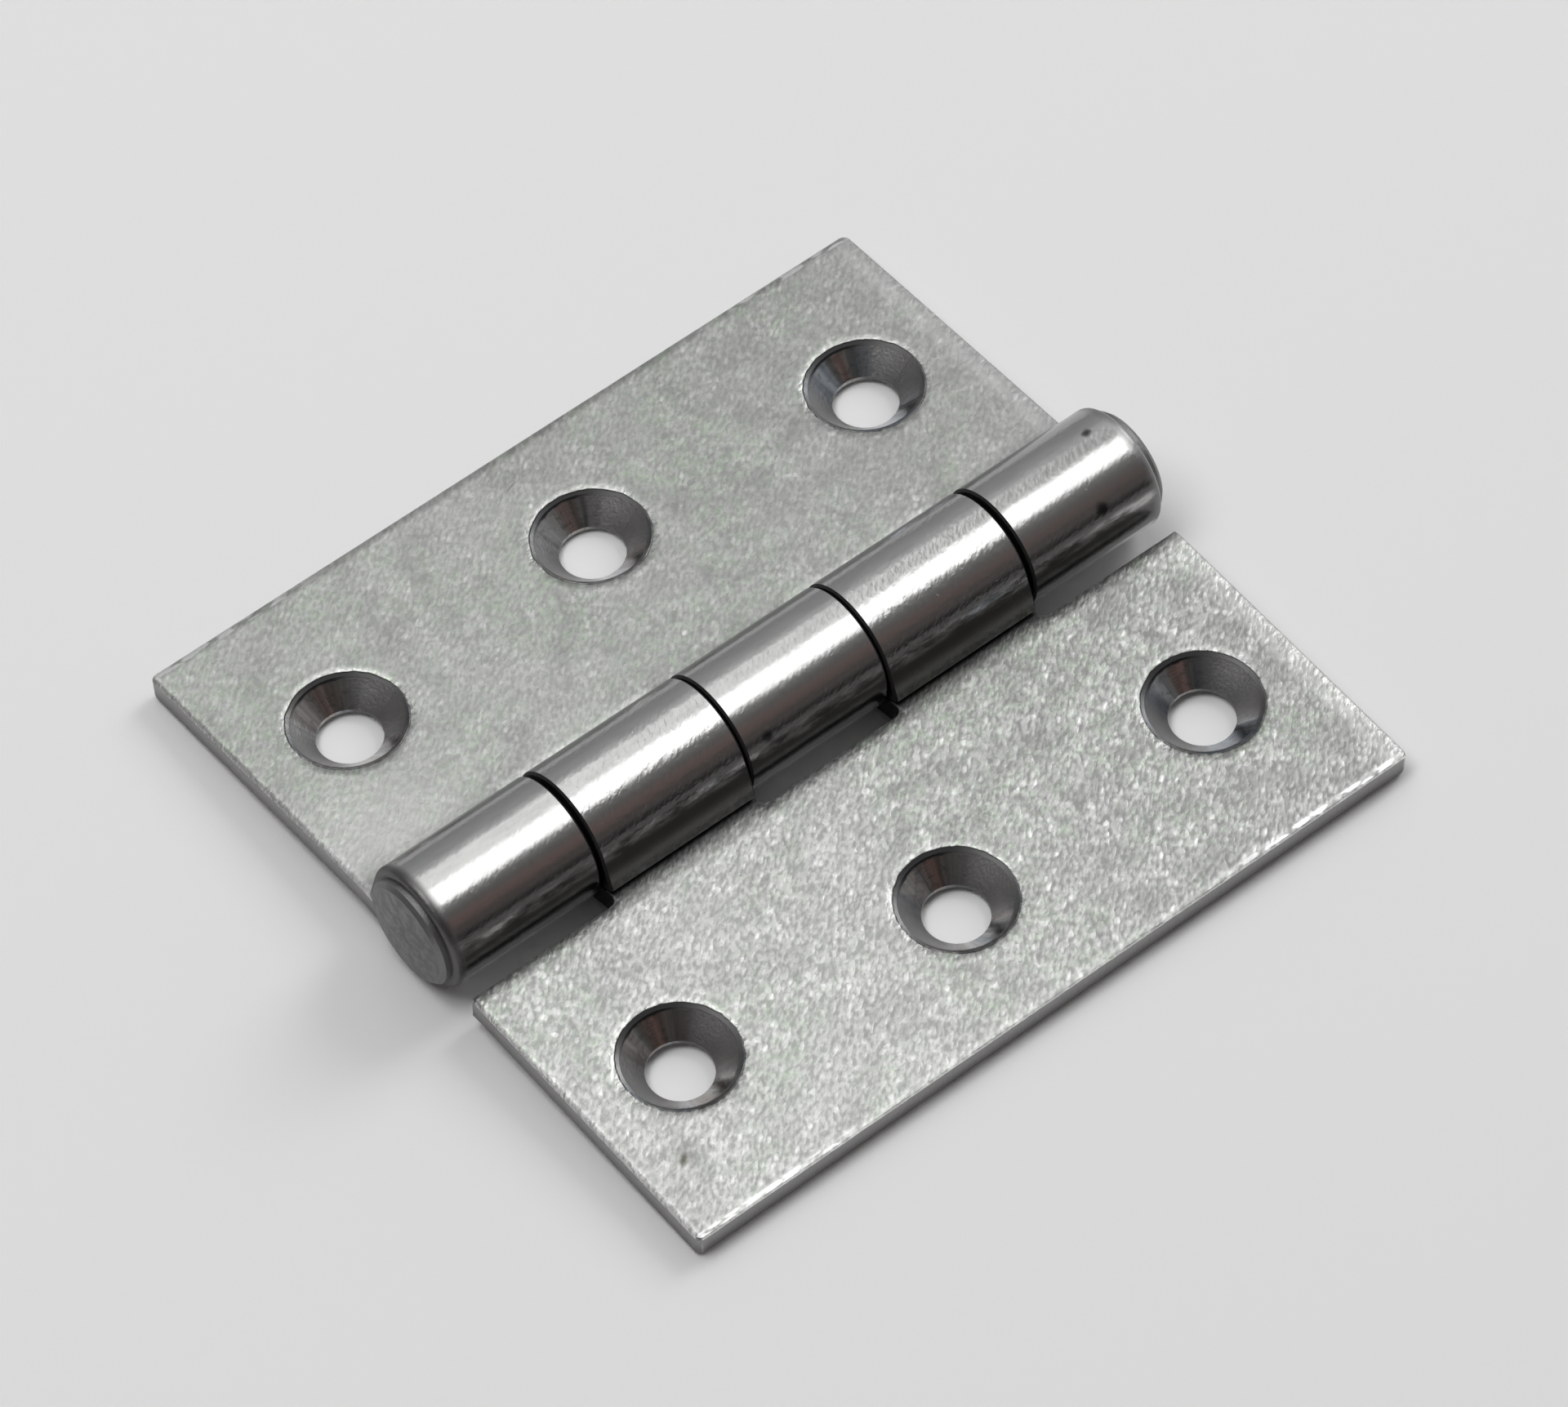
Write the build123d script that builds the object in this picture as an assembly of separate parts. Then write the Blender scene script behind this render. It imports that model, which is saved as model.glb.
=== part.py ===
from build123d import *
import os
from math import asin, atan, cos, degrees, hypot, radians, sin, tan

# Rolled steel butt hinge, lying open with its countersunk faces up.
# X runs along the pin from the near end (-X) to the far end, the frame leaf lies
# towards +Y and the door leaf towards -Y, and +Z is up. The origin is on the
# surface that the hinge lies on, under the middle of the pin.

# Sheet and leaves
sheet = 2.5                    # thickness of the steel strip
leaf_length = 75.0             # along the pin
leaf_reach = 37.0              # pin axis to the outer edge of a leaf
leaf_drop = 1.6                # countersunk face of a leaf below the pin axis
corner_radius = 0.7            # outer corners of a leaf, in plan
back_round = 0.6               # edges of the strip on its back and round the barrel's ends
face_bevel = 0.15              # edges of the strip on its countersunk face
slot_bevel = 0.2               # edges of the knuckles beside each other

# Pin
pin_diameter = 6.35            # quarter inch rod
pin_clearance = 0.05           # radial, between the pin and the rolled knuckles
head_diameter = 9.8            # heads that close the pin at both ends
head_height = 1.25             # middle of a head above the end of the barrel
head_rim = 0.5                 # straight rim of a head under its dome
head_bevel = 0.35

# Knuckles, counted from the near end (-X)
first_knuckle = 15.0           # pitch of the end knuckle of the frame leaf
door_knuckle = 15.5            # pitch of both knuckles of the door leaf
middle_knuckle = 14.7          # pitch of the middle knuckle of the frame leaf
outer_gap = 0.45               # side play at the two end knuckles
inner_gap = 0.2                # side play beside the middle knuckle
slot_gap = 1.65                # barrel to the end wall of the slot in the other leaf
slot_corner = 0.8              # corners of a slot, in plan
root_slope = 13.0              # degrees, strip coming down into the roll
root_radius = 9.0              # bend between the leaf and that slope, mid strip
tail_slope = 20.0              # degrees, last stretch of the roll, which stays straight
seam_gap = 0.15                # end of the roll above the face of its own leaf

# Screw holes, three in each leaf, the middle one further out
screw_hole = 5.8
countersink = 10.1             # diameter at the sharp rim
countersink_angle = 90.0
countersink_bevel = 0.2        # sloping edge round the sharp rim
hole_from_end = 9.75           # end holes from the ends of the leaf
end_hole_reach = 22.3          # end holes from the pin axis
middle_hole_reach = 24.6       # middle hole from the pin axis
frame_middle_shift = -0.2      # middle hole from half way along the leaf, as punched
door_middle_shift = -0.7

# Sizes that follow
bore_radius = pin_diameter / 2 + pin_clearance
barrel_radius = bore_radius + sheet
back_drop = leaf_drop + sheet
# Lying open, the barrel and the outer edge of each leaf touch the surface.
droop = degrees(asin(barrel_radius / hypot(leaf_reach, back_drop)) - atan(back_drop / leaf_reach))
half_length = leaf_length / 2
knuckle_joints = [-half_length + first_knuckle]
for pitch in (door_knuckle, middle_knuckle, door_knuckle):
    knuckle_joints.append(knuckle_joints[-1] + pitch)
knuckle_gaps = [outer_gap, inner_gap, inner_gap, outer_gap]
knuckle_count = len(knuckle_joints) + 1
frame_knuckles, door_knuckles = range(0, knuckle_count, 2), range(1, knuckle_count, 2)
slot_reach = barrel_radius + slot_gap
on_line = 0.03                 # a face this close to a line of the section lies along it


def polar(radius, angle):
    """A point of the section, (Y, Z), at an angle from +Y round the pin axis."""
    return radius * cos(radians(angle)), radius * sin(radians(angle))


def strip_line(radius, drop, bend_radius):
    """One side of the strip, as edges of the section from the outer edge of the leaf inwards:
    the flat of the leaf, the bend, the slope, the roll round the pin and the straight tail.

    radius is that side's distance from the pin axis, and drop its depth under the axis
    where the leaf is flat.
    """
    slope, tail = radians(root_slope), radians(tail_slope)
    reach = bend_radius * tan(slope / 2)
    meet = (radius - drop * cos(slope)) / sin(slope)
    flat_end = (meet + reach, -drop)
    bend_end = (meet - reach * cos(slope), -drop - reach * sin(slope))
    bend_middle = (flat_end[0] - bend_radius * sin(slope / 2), -drop - bend_radius * (1 - cos(slope / 2)))
    roll_angles = (root_slope - 90, (root_slope + tail_slope) / 2 - 225, tail_slope)
    roll = [polar(radius, angle) for angle in roll_angles]
    # The tail stops a seam above the sloping face of the leaf.
    to_slope = bore_radius - seam_gap - roll[2][0] * sin(slope) + roll[2][1] * cos(slope)
    run = to_slope / cos(slope - tail)
    tail_end = (roll[2][0] + run * sin(tail), roll[2][1] - run * cos(tail))
    return [Line((leaf_reach, -drop), flat_end), ThreePointArc(flat_end, bend_middle, bend_end),
            Line(bend_end, roll[0]), ThreePointArc(*roll), Line(roll[2], tail_end)]


# The face of a leaf becomes the bore of its knuckles, and its back becomes the barrel.
face_line = strip_line(bore_radius, leaf_drop, root_radius + sheet / 2)
back_line = strip_line(barrel_radius, back_drop, root_radius - sheet / 2)


def rim_of(solid, line):
    """Edges round the faces that lie along one side of the strip."""
    def along(face):
        point = face.position_at(0.5, 0.5)
        return min(edge.distance_to(Vertex(point.Y, point.Z, 0)) for edge in line) < on_line
    edges = [edge for face in solid.faces().filter_by(along) for edge in face.edges()]
    return [edge for edge in edges if edges.count(edge) == 1]


def slot(number):
    """Room for one knuckle of the other leaf: the knuckle's stretch of the pin and its side play."""
    # The slots of the two end knuckles are open to the outside.
    low, high = -leaf_length, leaf_length
    if number > 0:
        low = knuckle_joints[number - 1] - knuckle_gaps[number - 1] / 2
    if number < len(knuckle_joints):
        high = knuckle_joints[number] + knuckle_gaps[number] / 2
    depth = 2 * barrel_radius + slot_reach
    block = Pos((low + high) / 2, slot_reach - depth / 2, 0) * Box(high - low, depth, 4 * barrel_radius)
    corners = block.edges().filter_by(Axis.Z).group_by(Axis.Y)[-1]
    return fillet([edge for edge in corners if abs(edge.center().X) < half_length], slot_corner)


def beside_slot(edge):
    """True for an edge that a slot has made, clear of the outline of the leaf as a whole."""
    centre = edge.center()
    return abs(centre.X) < half_length - back_round - on_line and centre.Y < slot_reach + on_line


def screw_hole_cutter(x, reach):
    """Through hole, countersunk from the face of the leaf, with a bevelled rim."""
    wall, rim, half_angle = screw_hole / 2, countersink / 2, radians(countersink_angle / 2)
    cone_depth = (rim - wall) / tan(half_angle)
    on_face = (rim + countersink_bevel, 0)
    on_cone = (rim - countersink_bevel * sin(half_angle), -countersink_bevel * cos(half_angle))
    outline = Polyline((0, sheet), (on_face[0], sheet), on_face, on_cone, (wall, -cone_depth),
                       (wall, -2 * sheet), (0, -2 * sheet), (0, sheet))
    return Pos(x, reach, -leaf_drop) * revolve(Plane.XZ * make_face(outline), Axis.Z)


def leaf(other_knuckles, middle_shift):
    """One leaf with its rolled knuckles and screw holes, reaching along +Y from the pin axis.

    other_knuckles are the numbers of the knuckles that it leaves room for.
    """
    ends = [Line(face_line[0] @ 0, back_line[0] @ 0), Line(face_line[-1] @ 1, back_line[-1] @ 1)]
    section = Plane.YZ * make_face(face_line + back_line + ends)
    strip = Pos(-half_length, 0, 0) * extrude(section, amount=leaf_length)
    strip = fillet(strip.edges().filter_by(Axis.Z).group_by(Axis.Y)[-1], corner_radius)
    strip = fillet(rim_of(strip, back_line), back_round)
    strip = chamfer(rim_of(strip, face_line), face_bevel)
    for number in other_knuckles:
        strip -= slot(number)
    strip = chamfer([edge for edge in rim_of(strip, back_line) if beside_slot(edge)], slot_bevel)
    end_hole = half_length - hole_from_end
    for x in (-end_hole, end_hole):
        strip -= screw_hole_cutter(x, end_hole_reach)
    return strip - screw_hole_cutter(middle_shift, middle_hole_reach)


def riveted_pin():
    """Pin along X with a low domed head seated on the barrel at each end."""
    shank, head, edge = pin_diameter / 2, head_diameter / 2, head_diameter / 2 - head_bevel
    shoulder, end = half_length + head_rim, half_length + head_height
    dome_rise = end - shoulder - head_bevel
    sphere = (edge ** 2 + dome_rise ** 2) / (2 * dome_rise)
    on_dome = (end - sphere + (sphere ** 2 - (edge / 2) ** 2) ** 0.5, edge / 2)
    outline = Polyline((0, 0), (0, shank), (half_length, shank), (half_length, head), (shoulder, head),
                       (shoulder + head_bevel, edge))
    outline += ThreePointArc((shoulder + head_bevel, edge), on_dome, (end, 0)) + Line((end, 0), (0, 0))
    half_pin = revolve(make_face(outline), Axis.X)
    return half_pin + mirror(half_pin, about=Plane.YZ)


# Each leaf droops from the pin until its outer edge meets the surface.
frame_leaf = Rot(-droop, 0, 0) * leaf(door_knuckles, frame_middle_shift)
door_leaf = mirror(Rot(-droop, 0, 0) * leaf(frame_knuckles, door_middle_shift), about=Plane.XZ)
nodes = {"frame_leaf": frame_leaf, "door_leaf": door_leaf, "hinge_pin": riveted_pin()}

os.makedirs("parts", exist_ok=True)
for name, shape in nodes.items():
    export_step(Pos(0, 0, barrel_radius) * shape, f"parts/{name}.step")
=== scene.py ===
from math import cos, pi, radians, sin, tan

import bpy
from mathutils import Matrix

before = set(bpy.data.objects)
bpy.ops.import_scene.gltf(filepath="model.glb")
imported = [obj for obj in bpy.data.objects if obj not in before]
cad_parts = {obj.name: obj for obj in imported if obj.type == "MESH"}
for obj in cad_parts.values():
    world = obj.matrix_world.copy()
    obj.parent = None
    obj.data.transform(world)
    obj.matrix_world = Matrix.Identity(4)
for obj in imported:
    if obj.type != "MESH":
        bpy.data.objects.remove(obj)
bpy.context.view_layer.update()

MM = 0.001


# The two leaves.
# Each is one strip of bright zinc plated steel, blanked in a press, its knuckles rolled
# round the pin and its screw holes countersunk. The plate is a satin, finely pebbled skin on
# the flats, smoother where it was rolled, and thin and grey on the sheared edges.

pin_height = 5.725 * MM            # pin axis above the floor
leaf_droop = radians(2.5233)       # each leaf falls from the pin to the floor
face_depth = 1.6 * MM              # countersunk face below the pin axis
back_depth = 4.1 * MM              # back below the pin axis
leaf_reach = 37.0 * MM             # pin axis to the outer edge
half_length = 37.5 * MM            # middle of the pin to the end of a leaf
slot_reach = 7.375 * MM            # pin axis to the end wall of a slot
roll_radius, flat_radius = 5.8 * MM, 6.4 * MM   # from the pin axis, where the roll turns into the flat
rim_radius = 5.25 * MM             # countersink where it meets the face
end_hole, end_reach = 27.75 * MM, 22.3 * MM     # end holes from the leaf's middle and the pin axis
middle_reach = 24.6 * MM                        # middle hole from the pin axis
middle_shift = {"frame_leaf": -0.2 * MM, "door_leaf": -0.7 * MM}
# Stretches of the pin in mm, from and to, where a leaf is cut away for the other leaf's knuckles.
slots = {"frame_leaf": ((-22.7, -6.9), (7.6, 23.4)),
         "door_leaf": ((-50, -22.3), (-7.1, 7.8), (23.0, 50))}
# How coarse a leaf's pebbles are, how much painted shade darkens its far end, and how light its cones are.
coarse = {"frame_leaf": 0.6, "door_leaf": 1.0}
far_shade_share = {"frame_leaf": 0.2, "door_leaf": 0.66}
cone_grey = {"frame_leaf": 0.50, "door_leaf": 0.45}

# Marks on the faces, of wear and stains, and one broad patch of painted light on the frame leaf: middle in
# mm from the pin's middle, angle, length, width, softness, strength and colour.
marks = {
    "frame_leaf": (((-0.85, 11.05), 30, 0.9, 0.5, 0.7, 0.8, (0.95, 0.95, 0.95)),
                   ((-1.98, 30.6), 60, 0.8, 0.5, 0.7, 0.7, (0.95, 0.95, 0.95)),
                   ((-2.0, 33.41), 20, 1.6, 0.3, 0.6, 0.6, (0.2, 0.2, 0.2)),
                   ((4.0, 14.0), -20, 9.0, 3.5, 1.0, 0.15, (0.3, 0.3, 0.3)),
                   # A broad patch of painted light at the near corner of the frame leaf.
                   ((-32.0, 11.0), 10, 24.0, 16.0, 1.0, 0.5, (0.72, 0.72, 0.71))),
    "door_leaf": (((-33.61, 30.15), -45, 1.9, 0.9, 0.9, 0.9, (0.09, 0.085, 0.045)),
                  ((-33.4, 30.0), -45, 5.0, 3.2, 1.0, 0.4, (0.2, 0.2, 0.19)),
                  ((14.63, 25.41), 78, 7.8, 2.6, 0.9, 0.35, (0.3, 0.3, 0.3)),
                  ((-34.29, 14.29), 40, 0.9, 0.6, 0.7, 0.8, (0.95, 0.95, 0.95)),
                  ((6.0, 15.0), 25, 14.0, 5.0, 1.0, 0.16, (0.3, 0.3, 0.3)),
                  ((24.0, 31.0), -30, 12.0, 4.0, 1.0, 0.15, (0.3, 0.3, 0.3))),
}
# Dark pits in the barrel: where, in mm from the part's origin, and their size.
pits = {"frame_leaf": (((-4.54, -4.96, 8.6), 0.75),
                       ((31.6, -4.72, 8.96), 0.85),
                       ((34.6, 0.93, 11.38), 0.6)),
        "door_leaf": ()}


def shade(*rgb):
    return (*rgb, 1.0)


def grey(level):
    return shade(level, level, level)


def add(tree, kind, inputs=(), **settings):
    """A new node. inputs names or numbers sockets, and gives each a value or a node's output."""
    made = tree.nodes.new(kind)
    for name, value in settings.items():
        setattr(made, name, value)
    for socket, value in dict(inputs).items():
        if isinstance(value, bpy.types.NodeSocket):
            tree.links.new(value, made.inputs[socket])
        else:
            made.inputs[socket].default_value = value
    return made


def calc(tree, operation, *values, clamp=False):
    made = add(tree, "ShaderNodeMath", enumerate(values), operation=operation, use_clamp=clamp)
    return made.outputs[0]


def plus(tree, first, second):
    return calc(tree, "ADD", first, second)


def less(tree, first, second):
    return calc(tree, "SUBTRACT", first, second)


def times(tree, first, *others):
    for other in others:
        first = calc(tree, "MULTIPLY", first, other)
    return first


def fade(tree, value, start, end):
    """0 at start, 1 at end, with a soft passage between."""
    made = add(tree, "ShaderNodeMapRange", {0: value, 1: start, 2: end},
               interpolation_type="SMOOTHSTEP")
    return made.outputs[0]


def blend(tree, share, first, second):
    """A number between two others."""
    return add(tree, "ShaderNodeMix", {0: share, 2: first, 3: second}).outputs[0]


def tint(tree, share, first, second):
    """A colour between two others."""
    made = add(tree, "ShaderNodeMix", {0: share, 6: first, 7: second}, data_type="RGBA")
    return made.outputs[2]


def noise(tree, place, size, detail=2.0, rough=0.5):
    """Clouds of about this size, from 0 to 1."""
    made = add(tree, "ShaderNodeTexNoise",
               {"Vector": place, "Scale": 1 / size, "Detail": detail, "Roughness": rough})
    return made.outputs[0]


def lumps(tree, place, size, gap):
    """Soft round lumps of about this size: their height from 0 to 1, and a chance number for each."""
    made = add(tree, "ShaderNodeTexVoronoi", {"Vector": place, "Scale": 1 / size})
    chance = add(tree, "ShaderNodeSeparateXYZ", {0: made.outputs["Color"]}).outputs[0]
    return fade(tree, made.outputs["Distance"], gap, 0.0), chance


def relief(tree, height, depth, under=None):
    """Relief of this depth in metres, over other relief."""
    links = {"Height": height, "Distance": depth, "Strength": 1.0}
    if under:
        links["Normal"] = under
    return add(tree, "ShaderNodeBump", links).outputs[0]


def rounded(tree, inside, width):
    """Height of an edge that falls away over this width, from 0 on the flat to -1 at the edge."""
    near = calc(tree, "DIVIDE", less(tree, width, inside), width, clamp=True)
    return times(tree, calc(tree, "POWER", near, 2.0), -1.0)


def stretched(tree, place, scale, turn=0.0, kind="POINT"):
    """A place for textures, turned and scaled. POINT scales the place, and TEXTURE the texture."""
    made = add(tree, "ShaderNodeMapping", {0: place, 2: (0, 0, turn), 3: scale}, vector_type=kind)
    return made.outputs[0]


def distance(tree, place, middle):
    made = add(tree, "ShaderNodeVectorMath", {0: place, 1: middle}, operation="DISTANCE")
    return made.outputs["Value"]


ragged_size, ragged_reach = 0.9 * MM, 0.5 * MM  # how edges wander in and out


class Leaf:
    """Where on a leaf a point lies, with a soft mask from 0 to 1 for each part of the leaf."""

    def __init__(self, tree, name, side):
        # side is 1 for the leaf towards +Y and -1 for the other.
        self.name = name
        at = add(tree, "ShaderNodeTexCoord")
        self.place = place = at.outputs["Object"]
        _, self.behind, high = add(tree, "ShaderNodeSeparateXYZ", {0: place}).outputs
        self.up = less(tree, high, pin_height)

        # The leaf's own frame: Y out from the pin axis along the face, Z up from it.
        self.own = add(tree, "ShaderNodeMapping",
                       {0: place, 1: (0, 0, pin_height), 2: (-side * leaf_droop, 0, 0), 3: (1, side, 1)},
                       vector_type="TEXTURE").outputs[0]
        self.x, self.y, self.z = x, y, z = add(tree, "ShaderNodeSeparateXYZ", {0: self.own}).outputs
        self.from_middle = calc(tree, "ABSOLUTE", x)
        from_axis = calc(tree, "SQRT", plus(tree, times(tree, y, y), times(tree, z, z)))
        self.rolled = fade(tree, from_axis, flat_radius, roll_radius)
        self.face_side = fade(tree, z, -back_depth + 0.3 * MM, -face_depth - 0.8 * MM)
        self.along, self.across, _ = add(tree, "ShaderNodeSeparateXYZ", {0: at.outputs["Normal"]}).outputs
        cut_end = fade(tree, calc(tree, "ABSOLUTE", self.along), 0.2, 0.75)
        outer_edge = fade(tree, y, leaf_reach - 0.1 * MM, leaf_reach - 0.02 * MM)
        self.sheared = calc(tree, "MAXIMUM", cut_end, outer_edge)

        # Distance from the middle of the nearest screw hole, and the countersunk cones.
        holes = (-end_hole, end_reach), (middle_shift[name], middle_reach), (end_hole, end_reach)
        flat = add(tree, "ShaderNodeCombineXYZ", {0: x, 1: y}).outputs[0]
        nearest = distance(tree, flat, (*holes[0], 0))
        for hole in holes[1:]:
            nearest = calc(tree, "MINIMUM", nearest, distance(tree, flat, (*hole, 0)))
        self.from_hole = nearest
        wander = noise(tree, place, ragged_size, detail=3.0)
        self.ragged = times(tree, less(tree, wander, 0.5), ragged_reach)
        self.torn_out = plus(tree, nearest, times(tree, self.ragged, 0.5))
        above_back = fade(tree, z, -back_depth, -back_depth + 0.1 * MM)
        self.turned = times(tree, fade(tree, self.torn_out, rim_radius + 0.03 * MM, rim_radius - 0.07 * MM),
                            above_back)
        smooth = calc(tree, "MAXIMUM", self.rolled, self.turned)
        self.flat = calc(tree, "SUBTRACT", 1.0, smooth, clamp=True)

        # The stretches of the leaf that end at a slot beside the barrel.
        beside = None
        for low, high in slots[name]:
            middle, half = (low + high) / 2 * MM, (high - low) / 2 * MM
            off_middle = calc(tree, "ABSOLUTE", less(tree, x, middle))
            here = fade(tree, off_middle, half + 0.3 * MM, half - 0.1 * MM)
            beside = calc(tree, "MAXIMUM", beside, here) if beside else here
        self.beside_slot = beside
        self.from_slot = plus(tree, less(tree, y, slot_reach), self.ragged)


grain_angle, grain_length = radians(44), 2.0    # against the pin, and length over width
pebble_size, lump_size, grit_size = 0.34 * MM, 0.42 * MM, 0.13 * MM
stray_size, stray_reach = 0.5 * MM, 0.18 * MM   # how far the pebbles wander out of line


class Pebbles:
    """The skin of the plate: small lumps, drawn out aslant to the pin as in the photograph."""

    def __init__(self, tree, leaf):
        self.grain = stretched(tree, leaf.place, (grain_length, 1, 1), grain_angle, "TEXTURE")
        stray = add(tree, "ShaderNodeTexNoise", {"Vector": leaf.place, "Scale": 1 / stray_size})
        stray = add(tree, "ShaderNodeVectorMath", {0: stray.outputs["Color"], 3: stray_reach},
                    operation="SCALE").outputs[0]
        bent = add(tree, "ShaderNodeVectorMath", {0: self.grain, 1: stray}, operation="ADD").outputs[0]
        self.pebble = fade(tree, noise(tree, bent, pebble_size, detail=0.8), 0.28, 0.74)
        lump, chance = lumps(tree, bent, lump_size, gap=0.8)
        self.lump = times(tree, lump, calc(tree, "POWER", chance, 2.0))
        self.grit = noise(tree, self.grain, grit_size, rough=0.6)


ripple_size, ripple_depth = 2.2 * MM, 0.018 * MM
pebble_depth, grit_depth = 0.018 * MM, 0.006 * MM
rolled_pebbles = 0.36                           # how much of their height is left where it was rolled
outline_width, outline_drop = 0.95 * MM, 0.18   # each drop is in mm
kerb_width, kerb_slope = 0.16 * MM, 0.9
rim_width, rim_drop = 0.75 * MM, 0.13
slot_width, slot_drop = 1.4 * MM, 0.10
ring_pitch, ring_depth = 0.22 * MM, 0.0006 * MM
tear_size, tear_depth = 0.25 * MM, 0.05 * MM


def leaf_relief(tree, leaf, pebbles):
    """Ripples and pebbles of the skin, edges that the press pulled down, tool rings and torn cuts."""
    skin = relief(tree, noise(tree, leaf.place, ripple_size), ripple_depth)
    # Rolling round the pin pressed the pebbles flatter.
    left = blend(tree, leaf.rolled, leaf.flat, rolled_pebbles)
    skin = relief(tree, times(tree, plus(tree, pebbles.pebble, pebbles.lump), left),
                  pebble_depth * coarse[leaf.name], skin)
    skin = relief(tree, times(tree, pebbles.grit, leaf.flat), grit_depth, skin)

    # Heights in mm of the outline of the face, the dished rims of the holes and the slots.
    to_outline = calc(tree, "MINIMUM", less(tree, leaf_reach, leaf.y),
                      less(tree, half_length, leaf.from_middle))
    wavy = plus(tree, to_outline, times(tree, leaf.ragged, 0.4))
    pulled = times(tree, rounded(tree, wavy, outline_width), outline_drop)
    kerb = calc(tree, "MAXIMUM", less(tree, kerb_width, to_outline), 0.0)
    pulled = plus(tree, pulled, times(tree, kerb, kerb_slope / MM))
    to_rim = plus(tree, less(tree, leaf.from_hole, rim_radius), leaf.ragged)
    dished = times(tree, rounded(tree, to_rim, rim_width), rim_drop, leaf.face_side)
    sunk = times(tree, rounded(tree, leaf.from_slot, slot_width), slot_drop, leaf.beside_slot)
    edges = plus(tree, plus(tree, pulled, dished), sunk)
    skin = relief(tree, times(tree, edges, leaf.flat), 1.0 * MM, skin)

    # Rings that the countersinking tool cut, and the torn grain of the sheared edges.
    rings = calc(tree, "SINE", times(tree, leaf.from_hole, 2 * pi / ring_pitch))
    skin = relief(tree, times(tree, leaf.turned, rings), ring_depth, skin)
    torn = noise(tree, stretched(tree, leaf.place, (1, 1, 0.3)), tear_size, detail=4.0, rough=0.6)
    return relief(tree, times(tree, leaf.sheared, torn), tear_depth, skin)


light_zinc, dull_zinc = shade(0.555, 0.565, 0.545), shade(0.465, 0.475, 0.455)
mottle_size, mottle_grey = 3.5 * MM, shade(0.30, 0.305, 0.295)
far_shade_grey = shade(0.23, 0.23, 0.225)
far_shade_ends, far_shade_spread = (-12 * MM, 38 * MM), 20 * MM
green_size, green_patch_size, green_zinc = 1.1 * MM, 8 * MM, shade(0.51, 0.61, 0.47)
glint_crowd_size = 3 * MM                             # patches where the bright pebbles stand close
# Painted shade for the gaps between pebbles, and painted glints for the pebbles and lumps.
gap_shade_grey, speck_grey = grey(0.22), grey(0.30)
pebble_glint_white, lump_glint_white = shade(0.85, 0.85, 0.84), shade(0.95, 0.95, 0.94)


def zinc_colour(tree, leaf, pebbles, cloud):
    """Neutral zinc with faint green patches and duller clouds, painted glints on its pebbles, painted shade
    in the gaps between them, and painted shade towards the far end.
    """
    coarseness = coarse[leaf.name]
    colour = tint(tree, fade(tree, cloud, 0.35, 0.75), light_zinc, dull_zinc)
    mottled = fade(tree, noise(tree, leaf.place, mottle_size, detail=4.0, rough=0.6), 0.46, 0.64)
    colour = tint(tree, times(tree, mottled, 0.16 + 0.14 * coarseness), colour, mottle_grey)
    # Painted shade: the leaf grows darker towards its far end.
    far_shade = fade(tree, plus(tree, leaf.x, times(tree, cloud, far_shade_spread)), *far_shade_ends)
    colour = tint(tree, times(tree, far_shade, far_shade_share[leaf.name]), colour, far_shade_grey)
    green = fade(tree, noise(tree, leaf.place, green_size, detail=5.0, rough=0.8), 0.44, 0.6)
    green_patch = fade(tree, noise(tree, leaf.place, green_patch_size), 0.4, 0.62)
    colour = tint(tree, times(tree, green, green_patch, 0.6), colour, green_zinc)
    # The gaps between the pebbles are painted with shade, and the pebbles and lumps with glints.
    gaps = less(tree, 1.0, pebbles.pebble)
    colour = tint(tree, times(tree, gaps, 0.45 * coarseness), colour, gap_shade_grey)
    glint_crowd = fade(tree, noise(tree, leaf.place, glint_crowd_size, detail=3.0), 0.38, 0.62)
    glint_crowd = times(tree, blend(tree, glint_crowd, 0.35, 1.0), coarseness)
    colour = tint(tree, times(tree, pebbles.pebble, glint_crowd, 0.35), colour, pebble_glint_white)
    colour = tint(tree, times(tree, pebbles.lump, glint_crowd), colour, lump_glint_white)
    specks = times(tree, fade(tree, pebbles.grit, 0.5, 0.3), 0.25)
    return tint(tree, specks, colour, speck_grey)


def mark(tree, own, middle, angle, length, width, soft):
    """A mark on the face: 1 inside an oval of this length and width in mm, 0 outside it."""
    spot = add(tree, "ShaderNodeMapping",
               {0: own, 1: (middle[0] * MM, middle[1] * MM, -face_depth),
                2: (0, 0, radians(angle)), 3: (length * MM / 2, width * MM / 2, MM)},
               vector_type="TEXTURE").outputs[0]
    reach = add(tree, "ShaderNodeVectorMath", {0: spot}, operation="LENGTH").outputs["Value"]
    return fade(tree, reach, 1.0, 1.0 - soft)


# Each pair of distances is where a mark begins and where it is full.
end_glint_white, end_glint_share, end_glint_span = shade(0.80, 0.80, 0.79), 0.28, (35.0 * MM, 36.2 * MM)
bead_size, bead_glint_white = 0.5 * MM, shade(0.92, 0.92, 0.91)
bead_glint_inside, bead_glint_outside = (0.75 * MM, 0.5 * MM), (0.12 * MM, 0.22 * MM)
bead_glint_corner, bead_glint_spread = (24 * MM, 36 * MM), 16 * MM
lip_grey, lip_share, lip_end = grey(0.16), 0.7, (-36.95 * MM, -37.25 * MM)
seam_shade_grey, seam_shade_share, seam_shade_reach = grey(0.10), 0.7, (9.3 * MM, 6.8 * MM)


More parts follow.
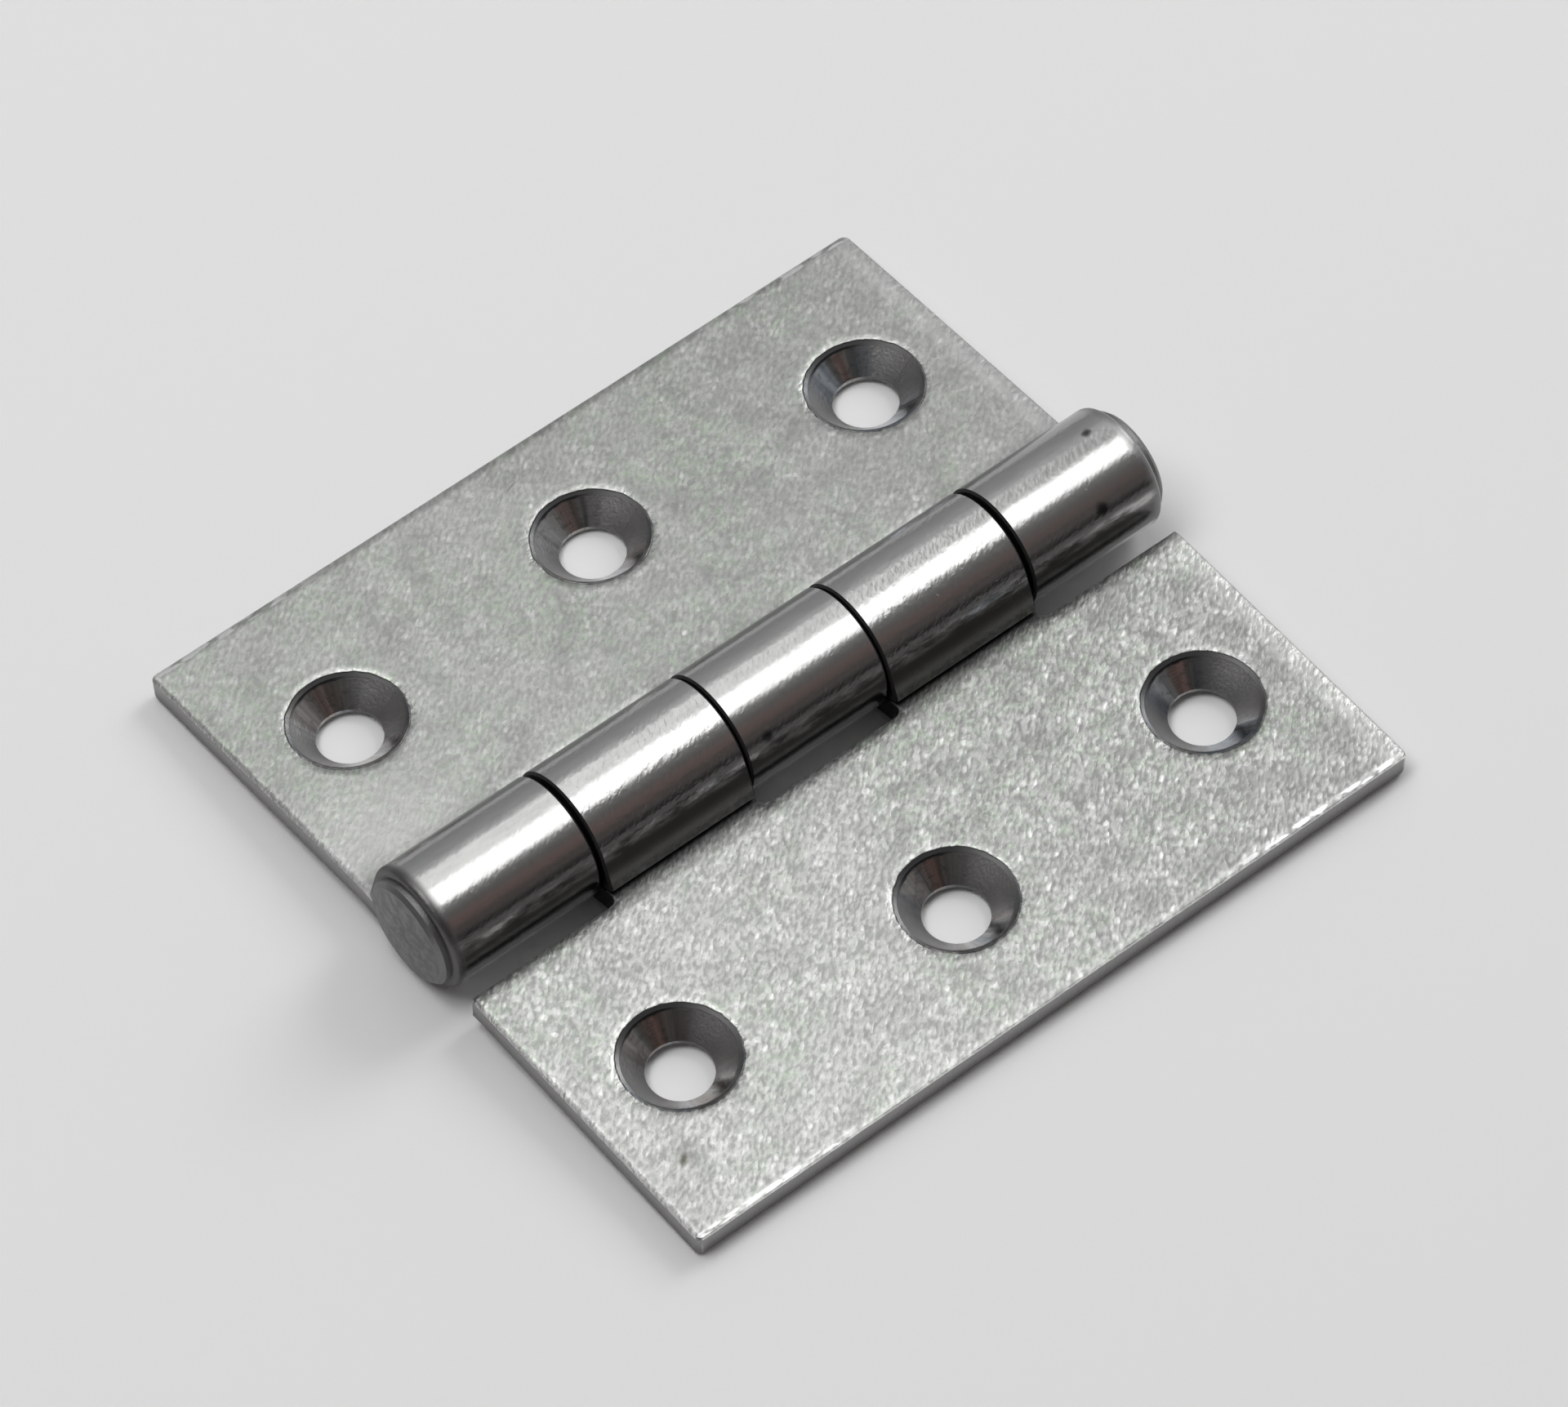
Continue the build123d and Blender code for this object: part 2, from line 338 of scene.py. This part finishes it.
def face_wear_and_painted_light(tree, leaf, colour, cloud, along_pin):
    """Painted highlights along the far end and in beads along the outer edge, a grey near end, single
    marks, one of them a painted patch of light, and painted shade on the face beside the barrel.
    """
    # Painted highlight: a lighter band along the far end, where the sheared edge rolls over.
    end_glint = fade(tree, plus(tree, leaf.x, times(tree, leaf.ragged, 1.5)), *end_glint_span)
    colour = tint(tree, times(tree, end_glint, end_glint_share), colour, end_glint_white)

    # Painted highlights in beads along the outer edge, where it rolls over, most of them near the corners.
    bead, _ = lumps(tree, along_pin, bead_size, gap=0.85)
    off_edge = less(tree, leaf_reach, leaf.y)
    line = times(tree, fade(tree, off_edge, *bead_glint_inside), fade(tree, off_edge, *bead_glint_outside))
    near_corner = plus(tree, leaf.from_middle, times(tree, cloud, bead_glint_spread))
    bead_glint = times(tree, line, fade(tree, bead, 0.1, 0.5), leaf.face_side,
                   fade(tree, near_corner, *bead_glint_corner))
    colour = tint(tree, bead_glint, colour, bead_glint_white)

    # The near end of the face is pulled down and grey along its edge.
    lipped = fade(tree, plus(tree, leaf.x, leaf.ragged), *lip_end)
    colour = tint(tree, times(tree, lipped, leaf.flat, lip_share), colour, lip_grey)
    for middle, angle, length, width, soft, share, spot_colour in marks[leaf.name]:
        spot = mark(tree, leaf.own, middle, angle, length, width, soft)
        colour = tint(tree, times(tree, spot, share), colour, shade(*spot_colour))
    # Painted shade on the face in the corner beside the knuckles, where the barrel meets the leaf.
    seam_shade = times(tree, fade(tree, leaf.y, *seam_shade_reach), less(tree, 1.0, leaf.beside_slot))
    return tint(tree, times(tree, seam_shade, seam_shade_share), colour, seam_shade_grey)


# Heights are over the pin axis, each pair from where a tone begins to where it is full. Most of these tones
# are painted shade and painted reflection.
smear_size = 0.9 * MM
bright_steel = shade(0.63, 0.63, 0.62)
front_shade_steel, front_shade_heights = shade(0.46, 0.45, 0.445), (5.0 * MM, 4.0 * MM)
oil_and_shade_steel, oil_and_shade_heights = shade(0.12, 0.117, 0.115), (3.5 * MM, 2.9 * MM)
reflected_streak_steel, reflected_streak_height, reflected_streak_width = shade(0.46, 0.455, 0.45), 1.8 * MM, (0.75 * MM, 0.2 * MM)
underside_reflection_steel, underside_reflection_heights = shade(0.85, 0.845, 0.84), (-1.3 * MM, -1.9 * MM)
back_shade_steel, back_shade_behind = grey(0.36), (0.9 * MM, 3.4 * MM)
crown_steel, crown_share, crown_heights = shade(0.45, 0.45, 0.445), 0.35, (4.9 * MM, 5.3 * MM)
pit_black, pit_share = grey(0.02), 0.85


def knuckle_colour(tree, leaf, colour, along_pin):
    """The rolled knuckles: bright on top, darker down the front with painted shade and some oil, with one
    lighter streak of painted reflection, bright again underneath with a painted reflection, and greyer at
    the back with painted shade."""
    rolled, up = leaf.rolled, leaf.up
    smear = fade(tree, noise(tree, along_pin, smear_size, detail=3.0, rough=0.6), 0.35, 0.68)
    colour = tint(tree, rolled, colour, bright_steel)
    # Painted shade down the front of the barrel.
    front_shade = times(tree, rolled, fade(tree, up, *front_shade_heights))
    colour = tint(tree, front_shade, colour, front_shade_steel)
    # Painted shade, with some oil, lower down the front.
    oil_and_shade = times(tree, rolled, fade(tree, up, *oil_and_shade_heights))
    colour = tint(tree, oil_and_shade, colour, oil_and_shade_steel)
    # Painted reflection: one lighter streak down the front.
    off_streak = calc(tree, "ABSOLUTE", less(tree, up, reflected_streak_height))
    reflected_streak = times(tree, fade(tree, off_streak, *reflected_streak_width), rolled, smear)
    colour = tint(tree, reflected_streak, colour, reflected_streak_steel)
    # Painted reflection: bright again underneath.
    underside_reflection = times(tree, rolled, fade(tree, up, *underside_reflection_heights))
    colour = tint(tree, underside_reflection, colour, underside_reflection_steel)
    # Painted shade: greyer at the back.
    back_shade = times(tree, rolled, fade(tree, leaf.behind, *back_shade_behind))
    colour = tint(tree, back_shade, colour, back_shade_steel)
    crown = times(tree, rolled, fade(tree, up, *crown_heights), smear, crown_share)
    colour = tint(tree, crown, colour, crown_steel)
    for middle, size in pits[leaf.name]:
        off = distance(tree, leaf.place, tuple(value * MM for value in middle))
        pit = fade(tree, plus(tree, off, leaf.ragged), size * MM, 0.3 * size * MM)
        colour = tint(tree, times(tree, pit, pit_share), colour, pit_black)
    return colour


streak_size, hue_size = 0.16, 0.45              # round a cone, where its radius is 1
hole_step = 10.0                                # carries the pattern on from hole to hole
streak_dark, streak_light = 0.5, 1.2            # times the leaf's cone_grey
tempered_blue, blue_share = shade(0.24, 0.31, 0.40), 0.5
tempered_brown, brown_share = shade(0.38, 0.30, 0.26), 0.4
blot_size, blot_grey, blot_share = 0.6 * MM, grey(0.13), 0.45


def cone_colour(tree, leaf):
    """Countersunk cones: streaks that the tool left down them, tempered blue and brown, and stained."""
    level = cone_grey[leaf.name]
    turn = add(tree, "ShaderNodeCombineXYZ",
               {0: leaf.along, 1: leaf.across, 2: times(tree, leaf.x, hole_step)}).outputs[0]
    streak = fade(tree, noise(tree, turn, streak_size, detail=3.0, rough=0.6), 0.3, 0.7)
    cone = tint(tree, streak, grey(streak_dark * level), grey(streak_light * level))
    hue = noise(tree, turn, hue_size)
    cone = tint(tree, times(tree, fade(tree, hue, 0.5, 0.62), blue_share), cone, tempered_blue)
    cone = tint(tree, times(tree, fade(tree, hue, 0.48, 0.36), brown_share), cone, tempered_brown)
    blot = fade(tree, noise(tree, leaf.place, blot_size, detail=3.0, rough=0.6), 0.5, 0.66)
    return tint(tree, times(tree, blot, blot_share), cone, blot_grey)


cloud_size = 7 * MM
rim_shade_black, rim_torn, rim_half = grey(0.04), 5.02 * MM, (0.36 * MM, 0.24 * MM)
slot_shade_grey, slot_shade_share, slot_shade_width = grey(0.08), 0.75, 0.7 * MM
spun_shade_grey, spun_shade_share, spun_ends = shade(0.26, 0.26, 0.258), 0.8, (36.2 * MM, 37.1 * MM)
near_end_shade_grey, near_end_shade_share = shade(0.13, 0.128, 0.126), 0.9
cut_grey, low_cut_grey = shade(0.36, 0.355, 0.355), shade(0.18, 0.177, 0.177)
slot_shade_black = grey(0.05)
# How matt each part is: 0 is a mirror.
satin_size, satin_matt = 0.7 * MM, (0.36, 0.46)
rolled_matt, turned_matt, spun_matt, torn_matt = 0.2, 0.16, 0.42, 0.5


def plated_leaf(name, side):
    """Zinc plate for one leaf. side is 1 for the leaf towards +Y and -1 for the other."""
    finish = bpy.data.materials.new(name + "_zinc")
    finish.use_nodes = True
    tree = finish.node_tree
    zinc = tree.nodes["Principled BSDF"]
    leaf = Leaf(tree, name, side)
    pebbles = Pebbles(tree, leaf)
    cloud = noise(tree, leaf.place, cloud_size, detail=3.0)
    along_pin = stretched(tree, leaf.place, (0.3, 1, 1))
    colour = zinc_colour(tree, leaf, pebbles, cloud)
    colour = face_wear_and_painted_light(tree, leaf, colour, cloud, along_pin)
    colour = knuckle_colour(tree, leaf, colour, along_pin)
    colour = tint(tree, leaf.turned, colour, cone_colour(tree, leaf))

    # The rims are torn, and painted with shade, darkest on the side towards the far end and the back.
    off_rim = calc(tree, "ABSOLUTE", less(tree, leaf.torn_out, rim_torn))
    far_wall = fade(tree, plus(tree, leaf.along, leaf.across), 0.35, -0.35)
    torn_rim_shade = times(tree, fade(tree, off_rim, *rim_half), leaf.face_side,
                     blend(tree, far_wall, 0.6, 1.0))
    colour = tint(tree, torn_rim_shade, colour, rim_shade_black)

    # Painted shade darkens the face at the edges beside the slots, and the ends of the barrel were spun
    # dull and are painted with shade.
    slot_shade = times(tree, leaf.beside_slot, fade(tree, leaf.from_slot, slot_shade_width, 0.0),
                      leaf.flat, leaf.face_side)
    colour = tint(tree, times(tree, slot_shade, slot_shade_share), colour, slot_shade_grey)
    spun = times(tree, leaf.rolled, fade(tree, leaf.from_middle, *spun_ends))
    # Painted shade on the spun ends of the barrel.
    colour = tint(tree, times(tree, spun, spun_shade_share), colour, spun_shade_grey)

    # Sheared edges are grey, darker towards the back, and painted with shade inside the slots.
    low_down = fade(tree, leaf.z, -face_depth - 0.3 * MM, -back_depth)
    cut = tint(tree, low_down, cut_grey, low_cut_grey)
    inside = times(tree, fade(tree, leaf.y, 9.0 * MM, 7.6 * MM),
                   fade(tree, leaf.from_middle, 37.3 * MM, 36.9 * MM))
    cut = tint(tree, inside, cut, slot_shade_black)
    colour = tint(tree, leaf.sheared, colour, cut)
    # More painted shade on the near end of the barrel.
    near_end = times(tree, spun, fade(tree, leaf.x, -36.0 * MM, -37.0 * MM))
    colour = tint(tree, times(tree, near_end, near_end_shade_share), colour, near_end_shade_grey)
    tree.links.new(colour, zinc.inputs["Base Color"])

    # Polished where it was rolled or turned, and matt where it is torn, spun or sheared.
    dull = blend(tree, noise(tree, pebbles.grain, satin_size), *satin_matt)
    dull = blend(tree, leaf.rolled, dull, rolled_matt)
    dull = blend(tree, leaf.turned, dull, turned_matt)
    dull = blend(tree, calc(tree, "MAXIMUM", torn_rim_shade, slot_shade), dull, torn_matt)
    dull = blend(tree, spun, dull, spun_matt)
    dull = blend(tree, leaf.sheared, dull, torn_matt)
    tree.links.new(dull, zinc.inputs["Roughness"])
    tree.links.new(leaf_relief(tree, leaf, pebbles), zinc.inputs["Normal"])
    zinc.inputs["Metallic"].default_value = 1.0
    return finish


for name, side in (("frame_leaf", 1), ("door_leaf", -1)):
    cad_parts[name].material_slots[0].material = plated_leaf(name, side)


# The pin.
# A plain steel rod through all five knuckles, its ends spun over into low heads that
# are rough and grey from the riveting tool.

dent_size, dent_depth = 0.8 * MM, 0.06 * MM
head_grit_size, head_grit_depth = 0.2 * MM, 0.012 * MM
low_steel, high_steel = shade(0.17, 0.17, 0.172), shade(0.25, 0.25, 0.245)
rim_from, rim_to, rim_steel = 4.3 * MM, 4.6 * MM, shade(0.23, 0.23, 0.228)


def riveted_steel():
    finish = bpy.data.materials.new("pin_riveted_steel")
    finish.use_nodes = True
    tree = finish.node_tree
    steel = tree.nodes["Principled BSDF"]
    place = add(tree, "ShaderNodeTexCoord").outputs["Object"]
    dents = noise(tree, place, dent_size, detail=4.0, rough=0.6)
    grit = noise(tree, place, head_grit_size)
    skin = relief(tree, grit, head_grit_depth, relief(tree, dents, dent_depth))
    colour = tint(tree, fade(tree, dents, 0.35, 0.7), low_steel, high_steel)
    _, y, z = add(tree, "ShaderNodeSeparateXYZ", {0: place}).outputs
    up = less(tree, z, pin_height)
    from_axis = calc(tree, "SQRT", plus(tree, times(tree, y, y), times(tree, up, up)))
    colour = tint(tree, fade(tree, from_axis, rim_from, rim_to), colour, rim_steel)
    tree.links.new(colour, steel.inputs["Base Color"])
    tree.links.new(blend(tree, dents, 0.55, 0.42), steel.inputs["Roughness"])
    tree.links.new(skin, steel.inputs["Normal"])
    steel.inputs["Metallic"].default_value = 1.0
    return finish


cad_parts["hinge_pin"].material_slots[0].material = riveted_steel()


# The table.
# A matt white table top, on which the hinge lies with its countersunk faces up. It is the
# stage and not part of the hinge.

table_size = 6.0


def white_table():
    finish = bpy.data.materials.new("white_table")
    finish.use_nodes = True
    paint = finish.node_tree.nodes["Principled BSDF"]
    paint.inputs["Base Color"].default_value = grey(0.97)
    paint.inputs["Roughness"].default_value = 0.9
    paint.inputs["Specular IOR Level"].default_value = 0.1
    return finish


bpy.ops.mesh.primitive_plane_add(size=table_size, location=(0, 0, 0))
table = bpy.context.object
table.name = "table"
table.data.materials.append(white_table())


# The lamps.
# One softbox hangs over the line of the pin, past its far end, and two weaker ones stand
# behind it, for the barrel to mirror. Two strong ones light the leaves and the table, from
# above and from the right of the picture. The brown wall in front only tints the dark side
# of the barrel.

# A lamp with this collection as its receivers lights all but the table, so that the slots
# beside the barrel stay dark.
off_table = bpy.data.collections.new("off_table")
off_table.objects.link(table)
off_table.collection_objects[0].light_linking.link_state = "EXCLUDE"


def softbox(name, place, turn, width, height, radiance, colour=(1, 1, 1), flagged=False):
    lamp = bpy.data.lights.new(name, "AREA")
    lamp.shape = "RECTANGLE"
    lamp.size, lamp.size_y = width, height
    lamp.energy = radiance * pi * width * height
    lamp.color = colour
    made = bpy.data.objects.new(name, lamp)
    made.location = place
    made.rotation_euler = turn
    if flagged:
        made.light_linking.receiver_collection = off_table
    bpy.context.scene.collection.objects.link(made)


def box_over_pin(name, away, start, end, near, far, radiance, flagged=False):
    """A box that a mirror turned about the pin would show from start to end, in degrees from +Y.

    It reaches from near to far along the pin.
    """
    middle, half = radians((start + end) / 2), radians((end - start) / 2)
    place = ((near + far) / 2, away * cos(middle), away * sin(middle) + pin_height)
    softbox(name, place, (middle - pi / 2, 0, 0), far - near, 2 * away * tan(half), radiance,
            flagged=flagged)


box_over_pin("overhead_box", away=0.7, start=80, end=113, near=0.1, far=0.44, radiance=1.8,
             flagged=True)
box_over_pin("rear_box", away=0.9, start=49, end=80, near=-0.30, far=0.40, radiance=0.84)
box_over_pin("low_rear_box", away=0.9, start=38, end=56, near=-0.2, far=0.6, radiance=0.15)
softbox("top_box", place=(-0.38, 0.15, 1.15), turn=(0, radians(-18), 0),
        width=0.7, height=0.5, radiance=4.4)
softbox("right_box", place=(0.98, 0.15, 0.78), turn=(0, radians(51), 0),
        width=0.7, height=0.5, radiance=4.0)
softbox("brown_wall", place=(0.3, -1.25, 0.8), turn=(radians(56), 0, radians(13)),
        width=0.7, height=0.4, radiance=1.0, colour=(0.09, 0.045, 0.036))


# The room.
# Low down it is light towards the far end and the back, and dark round the camera. Overhead
# it is dim, and lighter at the back. It lights all a little, and shows in the steel as
# reflections.

light_x, light_y = 0.906, 0.423                 # towards the light side of the room
brown_dark, cool_light = shade(0.085, 0.077, 0.074), shade(0.365, 0.368, 0.372)
front_ceiling, back_ceiling = grey(0.14), grey(0.22)

room = bpy.data.worlds.new("dim_room")
bpy.context.scene.world = room
room.use_nodes = True
room_tree = room.node_tree
towards = add(room_tree, "ShaderNodeTexCoord").outputs["Generated"]
x, y, z = add(room_tree, "ShaderNodeSeparateXYZ", {0: towards}).outputs
light_side = plus(room_tree, times(room_tree, x, light_x), times(room_tree, y, light_y))
low = tint(room_tree, fade(room_tree, light_side, -0.1, 0.65), brown_dark, cool_light)
high = tint(room_tree, fade(room_tree, y, -0.45, 0.2), front_ceiling, back_ceiling)
walls = tint(room_tree, fade(room_tree, z, 0.45, 1.0), low, high)
room_tree.links.new(walls, room_tree.nodes["Background"].inputs["Color"])
bpy.context.scene.view_settings.view_transform = "Standard"


# The camera.
# It looks down from beyond the near end of the pin, on the door leaf's side, so that the
# outlines of both leaves, the holes and the barrel fall as in the photograph.

lens = bpy.data.cameras.new("camera")
lens.lens, lens.sensor_width, lens.sensor_fit = 197.21466, 36.0, "HORIZONTAL"
lens.clip_start = 0.05
camera = bpy.data.objects.new("camera", lens)
camera.location = (-0.256511, -0.345394, 0.571659)
camera.rotation_euler = (radians(37.13352283), radians(1.67051026), radians(-38.90996242))
bpy.context.scene.collection.objects.link(camera)
bpy.context.scene.camera = camera
